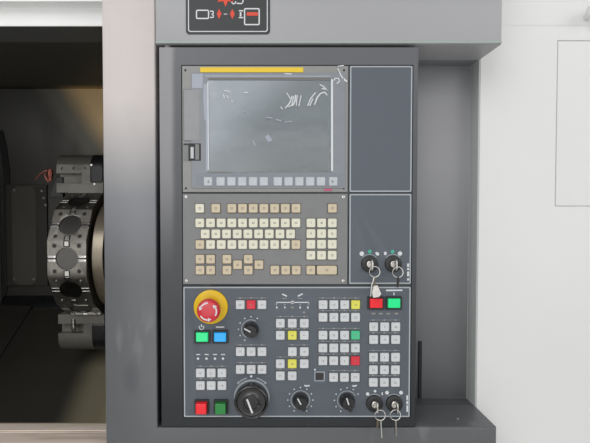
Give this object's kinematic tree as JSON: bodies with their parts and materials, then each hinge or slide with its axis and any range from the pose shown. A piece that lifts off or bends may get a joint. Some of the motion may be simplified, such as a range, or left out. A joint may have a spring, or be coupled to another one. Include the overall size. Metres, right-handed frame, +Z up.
{
  "type": "cnc turning lathe",
  "caption": "Slant-bed turning lathe with a multi-station turret, chuck, tailstock, sliding door, swivelling operator panel with keys, knobs and a stop button, and a rear electrical cabinet.",
  "frame": {"origin": "centre of the machine's box at floor level", "axes": "+X to the right along the spindle, +Y to the back, +Z up"},
  "size_m": [3.2, 1.84, 1.92],
  "materials": {
    "pale_paint": "pale grey-white powder coat, fine texture",
    "dark_paint": "dark grey satin powder coat with soft smudges",
    "panel_paint": "charcoal satin powder coat",
    "slate_plate": "slate printed film with pale border lines",
    "plate_grey": "mid grey moulded unit",
    "cast_paint": "grey machine enamel on cast iron",
    "steel": "ground steel",
    "dark_steel": "oiled dark steel",
    "black_plastic": "black moulded plastic",
    "red_plastic": "red moulded plastic",
    "green_plastic": "green moulded plastic",
    "blue_plastic": "blue moulded plastic",
    "belt_rubber": "black ribbed belt",
    "window_glass": "clear laminated pane"
  },
  "bodies": {
    "machine": {"bed_casting": "cast_paint", "headstock_casting": "cast_paint", "front_bearing": "steel", "rear_bearing": "steel", "spindle_motor": "dark_paint", "drive_belt": "belt_rubber", "coolant_tank": "cast_paint", "chamber_liner": "dark_steel", "way_cover": "steel", "left_cover": "pale_paint", "upper_cover": "pale_paint", "right_cover": "pale_paint", "rear_cover": "pale_paint", "lower_front_cover": "pale_paint", "front_frame": "dark_paint", "header_cover": "dark_paint", "niche_liner": "dark_paint", "electrical_cabinet": "pale_paint"},
    "spindle_line": {"spindle": "steel", "chuck_body": "steel", "chuck_cylinder": "cast_paint"},
    "jaw_1": {"chuck_jaw_1": "steel"},
    "jaw_2": {"chuck_jaw_2": "steel"},
    "jaw_3": {"chuck_jaw_3": "steel"},
    "motor_drive": {"motor_pulley": "steel"},
    "z_drive": {"z_screw": "steel"},
    "saddle_body": {"saddle": "cast_paint"},
    "cross_body": {"cross_slide": "cast_paint", "turret_housing": "dark_steel"},
    "turret": {"turret_disc": "steel", "upper_tool_holder": "dark_steel", "lower_tool_holder": "dark_steel"},
    "tailstock_body": {"tailstock": "cast_paint"},
    "quill": {"tailstock_quill": "steel"},
    "door": {"door_panel": "pale_paint", "door_window": "window_glass"},
    "cabinet_flap": {"cabinet_door": "pale_paint"},
    "hatch": {"hatch_door": "pale_paint"},
    "panel": {"panel_box": "panel_paint", "display_unit": "plate_grey", "keyboard_unit": "plate_grey", "blank_plate": "slate_plate", "key_plate": "slate_plate", "operator_plate": "slate_plate"},
    "card_flap": {"card_slot_cover": "plate_grey"},
    "stop_head": {"emergency_stop": "red_plastic"},
    "wheel": {"handwheel": "black_plastic"},
    "feed_knob_body": {"feed_knob": "black_plastic"},
    "speed_knob_body": {"speed_knob": "black_plastic"},
    "rapid_knob_body": {"rapid_knob": "black_plastic"},
    "panel_key_1_body": {"panel_key_1": "steel"},
    "panel_key_2_body": {"panel_key_2": "steel"},
    "panel_key_3_body": {"panel_key_3": "steel"},
    "panel_key_4_body": {"panel_key_4": "steel"},
    "green_button_body": {"green_button": "green_plastic"},
    "blue_button_body": {"blue_button": "blue_plastic"},
    "stop_button_body": {"stop_button": "red_plastic"},
    "start_button_body": {"start_button": "green_plastic"},
    "reset_button_body": {"reset_button": "red_plastic"},
    "ready_button_body": {"ready_button": "green_plastic"}
  },
  "joints": [
    {"name": "spindle_spin", "type": "hinge", "parent": "machine", "child": "spindle_line", "pos_m": [-0.804, -0.518, 1.01], "axis": [1, 0, 0], "continuous": true},
    {"name": "jaw_1_slide", "type": "slide", "parent": "spindle_line", "child": "jaw_1", "axis": [0, 0, 1], "range_m": [0, 0.006]},
    {"name": "jaw_2_slide", "type": "slide", "parent": "spindle_line", "child": "jaw_2", "axis": [0, -0.866, -0.5], "range_m": [0, 0.006]},
    {"name": "jaw_3_slide", "type": "slide", "parent": "spindle_line", "child": "jaw_3", "axis": [0, 0.866, -0.5], "range_m": [0, 0.006]},
    {"name": "motor_spin", "type": "hinge", "parent": "machine", "child": "motor_drive", "pos_m": [-1.496, 0.4367, 1.07657], "axis": [1, 0, 0], "continuous": true},
    {"name": "saddle_slide", "type": "slide", "parent": "machine", "child": "saddle_body", "axis": [1, 0, 0], "range_m": [-0.42, 0]},
    {"name": "z_screw_spin", "type": "hinge", "parent": "machine", "child": "z_drive", "pos_m": [-0.84, -0.14796, 0.77908], "axis": [1, 0, 0], "continuous": true},
    {"name": "cross_slide_travel", "type": "slide", "parent": "saddle_body", "child": "cross_body", "axis": [0, 0.866, 0.5], "range_m": [-0.2, 0]},
    {"name": "turret_index", "type": "hinge", "parent": "cross_body", "child": "turret", "pos_m": [-0.0675, -0.16813, 1.212], "axis": [1, 0, 0], "continuous": true},
    {"name": "tailstock_slide", "type": "slide", "parent": "machine", "child": "tailstock_body", "axis": [1, 0, 0], "range_m": [-0.2, 0]},
    {"name": "quill_slide", "type": "slide", "parent": "tailstock_body", "child": "quill", "axis": [1, 0, 0], "range_m": [-0.08, 0]},
    {"name": "door_slide", "type": "slide", "parent": "machine", "child": "door", "axis": [1, 0, 0], "range_m": [0, 0.9]},
    {"name": "cabinet_door_swing", "type": "hinge", "parent": "machine", "child": "cabinet_flap", "pos_m": [1.25, 0.87785, 0.25], "axis": [0, 0, 1], "range_deg": [-110, 0]},
    {"name": "hatch_swing", "type": "hinge", "parent": "machine", "child": "hatch", "pos_m": [1.486, -0.785, 1.3608], "axis": [0, 0, 1], "range_deg": [0, 100]},
    {"name": "panel_swivel", "type": "hinge", "parent": "machine", "child": "panel", "pos_m": [0.387, -0.866, 0.9673], "axis": [0, 0, 1], "range_deg": [-90, 0]},
    {"name": "card_cover_swing", "type": "hinge", "parent": "panel", "child": "card_flap", "pos_m": [0.4176, -0.8798, 1.47388], "axis": [0, 0, 1], "range_deg": [-100, 0]},
    {"name": "emergency_stop_press", "type": "slide", "parent": "panel", "child": "stop_head", "axis": [0, 1, 0], "range_m": [0, 0.004], "stiffness_N_per_m": 400},
    {"name": "handwheel_turn", "type": "hinge", "parent": "panel", "child": "wheel", "pos_m": [0.53585, -0.878, 1.02001], "axis": [0, 1, 0], "continuous": true},
    {"name": "feed_knob_turn", "type": "hinge", "parent": "panel", "child": "feed_knob_body", "pos_m": [0.53464, -0.878, 1.14148], "axis": [0, 1, 0], "range_deg": [-120, 120]},
    {"name": "speed_knob_turn", "type": "hinge", "parent": "panel", "child": "speed_knob_body", "pos_m": [0.62239, -0.878, 1.01464], "axis": [0, 1, 0], "range_deg": [-120, 120]},
    {"name": "rapid_knob_turn", "type": "hinge", "parent": "panel", "child": "rapid_knob_body", "pos_m": [0.7053, -0.878, 1.01417], "axis": [0, 1, 0], "range_deg": [-120, 120]},
    {"name": "panel_key_3_turn", "type": "hinge", "parent": "panel", "child": "panel_key_3_body", "pos_m": [0.75401, -0.878, 1.0088], "axis": [0, 1, 0], "range_deg": [0, 90]},
    {"name": "panel_key_4_turn", "type": "hinge", "parent": "panel", "child": "panel_key_4_body", "pos_m": [0.78902, -0.878, 1.0088], "axis": [0, 1, 0], "range_deg": [0, 90]},
    {"name": "panel_key_1_turn", "type": "hinge", "parent": "panel", "child": "panel_key_1_body", "pos_m": [0.74383, -0.878, 1.25777], "axis": [0, 1, 0], "range_deg": [0, 90]},
    {"name": "panel_key_2_turn", "type": "hinge", "parent": "panel", "child": "panel_key_2_body", "pos_m": [0.78544, -0.878, 1.25777], "axis": [0, 1, 0], "range_deg": [0, 90]},
    {"name": "green_button_press", "type": "slide", "parent": "panel", "child": "green_button_body", "axis": [0, 1, 0], "range_m": [0, 0.0015], "stiffness_N_per_m": 300},
    {"name": "blue_button_press", "type": "slide", "parent": "panel", "child": "blue_button_body", "axis": [0, 1, 0], "range_m": [0, 0.0015], "stiffness_N_per_m": 300},
    {"name": "stop_button_press", "type": "slide", "parent": "panel", "child": "stop_button_body", "axis": [0, 1, 0], "range_m": [0, 0.0015], "stiffness_N_per_m": 300},
    {"name": "start_button_press", "type": "slide", "parent": "panel", "child": "start_button_body", "axis": [0, 1, 0], "range_m": [0, 0.0015], "stiffness_N_per_m": 300},
    {"name": "reset_button_press", "type": "slide", "parent": "panel", "child": "reset_button_body", "axis": [0, 1, 0], "range_m": [0, 0.0015], "stiffness_N_per_m": 300},
    {"name": "ready_button_press", "type": "slide", "parent": "panel", "child": "ready_button_body", "axis": [0, 1, 0], "range_m": [0, 0.0015], "stiffness_N_per_m": 300}
  ],
  "couplings": [
    {"joint": "jaw_2_slide", "follows": "jaw_1_slide", "ratio": 1},
    {"joint": "jaw_3_slide", "follows": "jaw_1_slide", "ratio": 1},
    {"joint": "motor_spin", "follows": "spindle_spin", "ratio": 1.4444},
    {"joint": "z_screw_spin", "follows": "saddle_slide", "rad_per_m": 523.6}
  ]
}
